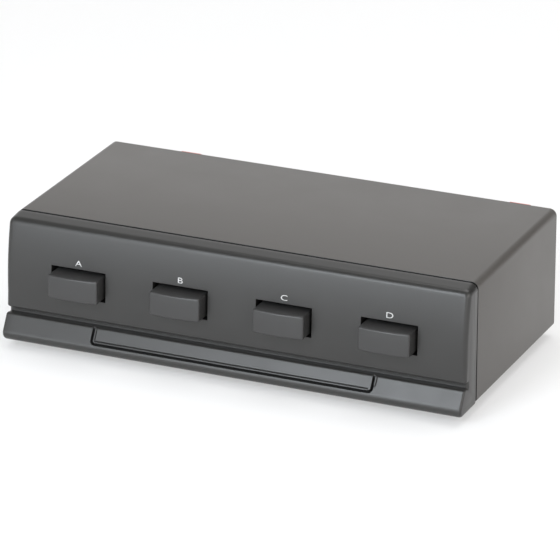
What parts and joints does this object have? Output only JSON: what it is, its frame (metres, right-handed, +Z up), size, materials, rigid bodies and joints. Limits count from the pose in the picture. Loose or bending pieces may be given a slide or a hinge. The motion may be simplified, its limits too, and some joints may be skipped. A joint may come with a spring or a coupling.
{
  "type": "speaker selector switch",
  "caption": "Loudspeaker selector: low grey steel case, moulded bowed front with rectangular push buttons, and spring wire terminals with red and black levers at the rear.",
  "frame": {"origin": "middle of the footprint, on the plane that the feet stand on", "axes": "+Z up, +X along the length, to the right as seen from the front, and the front faces -Y"},
  "size_m": [0.2, 0.1102, 0.055],
  "materials": {
    "cover_paint": "satin",
    "tray_steel": "satin",
    "panel_plastic": "satin",
    "cap_plastic": "satin",
    "foot_rubber": "matte",
    "screw_steel": "satin",
    "board_laminate": "satin",
    "support_nylon": "satin",
    "resistor_cement": "matte",
    "switch_plastic": "satin",
    "plunger_plastic": "satin",
    "block_plastic": "satin",
    "lever_red": "gloss",
    "lever_black": "gloss",
    "contact_brass": "satin",
    "wire_jacket": "satin"
  },
  "bodies": {
    "case": {"top_cover": "cover_paint", "chassis_tray": "tray_steel", "front_panel": "panel_plastic", "rubber_feet": "foot_rubber", "cover_screws": "screw_steel", "switch_body_a": "switch_plastic", "switch_body_b": "switch_plastic", "switch_body_c": "switch_plastic", "switch_body_d": "switch_plastic", "switch_board": "board_laminate", "board_posts": "support_nylon", "protection_resistors": "resistor_cement", "terminal_board": "board_laminate", "link_wires": "wire_jacket", "terminal_contacts": "contact_brass", "terminal_block_input": "block_plastic", "terminal_block_a": "block_plastic", "terminal_block_b": "block_plastic", "terminal_block_c": "block_plastic", "terminal_block_d": "block_plastic"},
    "button_a": {"button_cap_a": "cap_plastic", "plunger_a": "plunger_plastic"},
    "button_b": {"button_cap_b": "cap_plastic", "plunger_b": "plunger_plastic"},
    "button_c": {"button_cap_c": "cap_plastic", "plunger_c": "plunger_plastic"},
    "button_d": {"button_cap_d": "cap_plastic", "plunger_d": "plunger_plastic"},
    "lever_input_right_red": {"lever_input_right_red": "lever_red"},
    "lever_input_right_black": {"lever_input_right_black": "lever_black"},
    "lever_input_left_red": {"lever_input_left_red": "lever_red"},
    "lever_input_left_black": {"lever_input_left_black": "lever_black"},
    "lever_a_right_red": {"lever_a_right_red": "lever_red"},
    "lever_a_right_black": {"lever_a_right_black": "lever_black"},
    "lever_a_left_red": {"lever_a_left_red": "lever_red"},
    "lever_a_left_black": {"lever_a_left_black": "lever_black"},
    "lever_b_right_red": {"lever_b_right_red": "lever_red"},
    "lever_b_right_black": {"lever_b_right_black": "lever_black"},
    "lever_b_left_red": {"lever_b_left_red": "lever_red"},
    "lever_b_left_black": {"lever_b_left_black": "lever_black"},
    "lever_c_right_red": {"lever_c_right_red": "lever_red"},
    "lever_c_right_black": {"lever_c_right_black": "lever_black"},
    "lever_c_left_red": {"lever_c_left_red": "lever_red"},
    "lever_c_left_black": {"lever_c_left_black": "lever_black"},
    "lever_d_right_red": {"lever_d_right_red": "lever_red"},
    "lever_d_right_black": {"lever_d_right_black": "lever_black"},
    "lever_d_left_red": {"lever_d_left_red": "lever_red"},
    "lever_d_left_black": {"lever_d_left_black": "lever_black"}
  },
  "joints": [
    {"name": "button_a_press", "type": "slide", "parent": "case", "child": "button_a", "axis": [0, 1, 0], "range_m": [0, 0.004], "stiffness_N_per_m": 300, "springref_m": -0.003},
    {"name": "button_b_press", "type": "slide", "parent": "case", "child": "button_b", "axis": [0, 1, 0], "range_m": [0, 0.004], "stiffness_N_per_m": 300, "springref_m": -0.003},
    {"name": "button_c_press", "type": "slide", "parent": "case", "child": "button_c", "axis": [0, 1, 0], "range_m": [0, 0.004], "stiffness_N_per_m": 300, "springref_m": -0.003},
    {"name": "button_d_press", "type": "slide", "parent": "case", "child": "button_d", "axis": [0, 1, 0], "range_m": [0, 0.004], "stiffness_N_per_m": 300, "springref_m": -0.003},
    {"name": "lever_input_right_red_press", "type": "hinge", "parent": "case", "child": "lever_input_right_red", "pos_m": [-0.0828, 0.04765, 0.047], "axis": [-1, 0, 0], "range_deg": [0, 20], "stiffness_Nm_per_rad": 0.1, "springref_deg": -9.74},
    {"name": "lever_input_right_black_press", "type": "hinge", "parent": "case", "child": "lever_input_right_black", "pos_m": [-0.0828, 0.04765, 0.028], "axis": [-1, 0, 0], "range_deg": [0, 20], "stiffness_Nm_per_rad": 0.1, "springref_deg": -9.74},
    {"name": "lever_input_left_red_press", "type": "hinge", "parent": "case", "child": "lever_input_left_red", "pos_m": [-0.0644, 0.04765, 0.047], "axis": [-1, 0, 0], "range_deg": [0, 20], "stiffness_Nm_per_rad": 0.1, "springref_deg": -9.74},
    {"name": "lever_input_left_black_press", "type": "hinge", "parent": "case", "child": "lever_input_left_black", "pos_m": [-0.0644, 0.04765, 0.028], "axis": [-1, 0, 0], "range_deg": [0, 20], "stiffness_Nm_per_rad": 0.1, "springref_deg": -9.74},
    {"name": "lever_a_right_red_press", "type": "hinge", "parent": "case", "child": "lever_a_right_red", "pos_m": [-0.046, 0.04765, 0.047], "axis": [-1, 0, 0], "range_deg": [0, 20], "stiffness_Nm_per_rad": 0.1, "springref_deg": -9.74},
    {"name": "lever_a_right_black_press", "type": "hinge", "parent": "case", "child": "lever_a_right_black", "pos_m": [-0.046, 0.04765, 0.028], "axis": [-1, 0, 0], "range_deg": [0, 20], "stiffness_Nm_per_rad": 0.1, "springref_deg": -9.74},
    {"name": "lever_a_left_red_press", "type": "hinge", "parent": "case", "child": "lever_a_left_red", "pos_m": [-0.0276, 0.04765, 0.047], "axis": [-1, 0, 0], "range_deg": [0, 20], "stiffness_Nm_per_rad": 0.1, "springref_deg": -9.74},
    {"name": "lever_a_left_black_press", "type": "hinge", "parent": "case", "child": "lever_a_left_black", "pos_m": [-0.0276, 0.04765, 0.028], "axis": [-1, 0, 0], "range_deg": [0, 20], "stiffness_Nm_per_rad": 0.1, "springref_deg": -9.74},
    {"name": "lever_b_right_red_press", "type": "hinge", "parent": "case", "child": "lever_b_right_red", "pos_m": [-0.0092, 0.04765, 0.047], "axis": [-1, 0, 0], "range_deg": [0, 20], "stiffness_Nm_per_rad": 0.1, "springref_deg": -9.74},
    {"name": "lever_b_right_black_press", "type": "hinge", "parent": "case", "child": "lever_b_right_black", "pos_m": [-0.0092, 0.04765, 0.028], "axis": [-1, 0, 0], "range_deg": [0, 20], "stiffness_Nm_per_rad": 0.1, "springref_deg": -9.74},
    {"name": "lever_b_left_red_press", "type": "hinge", "parent": "case", "child": "lever_b_left_red", "pos_m": [0.0092, 0.04765, 0.047], "axis": [-1, 0, 0], "range_deg": [0, 20], "stiffness_Nm_per_rad": 0.1, "springref_deg": -9.74},
    {"name": "lever_b_left_black_press", "type": "hinge", "parent": "case", "child": "lever_b_left_black", "pos_m": [0.0092, 0.04765, 0.028], "axis": [-1, 0, 0], "range_deg": [0, 20], "stiffness_Nm_per_rad": 0.1, "springref_deg": -9.74},
    {"name": "lever_c_right_red_press", "type": "hinge", "parent": "case", "child": "lever_c_right_red", "pos_m": [0.0276, 0.04765, 0.047], "axis": [-1, 0, 0], "range_deg": [0, 20], "stiffness_Nm_per_rad": 0.1, "springref_deg": -9.74},
    {"name": "lever_c_right_black_press", "type": "hinge", "parent": "case", "child": "lever_c_right_black", "pos_m": [0.0276, 0.04765, 0.028], "axis": [-1, 0, 0], "range_deg": [0, 20], "stiffness_Nm_per_rad": 0.1, "springref_deg": -9.74},
    {"name": "lever_c_left_red_press", "type": "hinge", "parent": "case", "child": "lever_c_left_red", "pos_m": [0.046, 0.04765, 0.047], "axis": [-1, 0, 0], "range_deg": [0, 20], "stiffness_Nm_per_rad": 0.1, "springref_deg": -9.74},
    {"name": "lever_c_left_black_press", "type": "hinge", "parent": "case", "child": "lever_c_left_black", "pos_m": [0.046, 0.04765, 0.028], "axis": [-1, 0, 0], "range_deg": [0, 20], "stiffness_Nm_per_rad": 0.1, "springref_deg": -9.74},
    {"name": "lever_d_right_red_press", "type": "hinge", "parent": "case", "child": "lever_d_right_red", "pos_m": [0.0644, 0.04765, 0.047], "axis": [-1, 0, 0], "range_deg": [0, 20], "stiffness_Nm_per_rad": 0.1, "springref_deg": -9.74},
    {"name": "lever_d_right_black_press", "type": "hinge", "parent": "case", "child": "lever_d_right_black", "pos_m": [0.0644, 0.04765, 0.028], "axis": [-1, 0, 0], "range_deg": [0, 20], "stiffness_Nm_per_rad": 0.1, "springref_deg": -9.74},
    {"name": "lever_d_left_red_press", "type": "hinge", "parent": "case", "child": "lever_d_left_red", "pos_m": [0.0828, 0.04765, 0.047], "axis": [-1, 0, 0], "range_deg": [0, 20], "stiffness_Nm_per_rad": 0.1, "springref_deg": -9.74},
    {"name": "lever_d_left_black_press", "type": "hinge", "parent": "case", "child": "lever_d_left_black", "pos_m": [0.0828, 0.04765, 0.028], "axis": [-1, 0, 0], "range_deg": [0, 20], "stiffness_Nm_per_rad": 0.1, "springref_deg": -9.74}
  ]
}
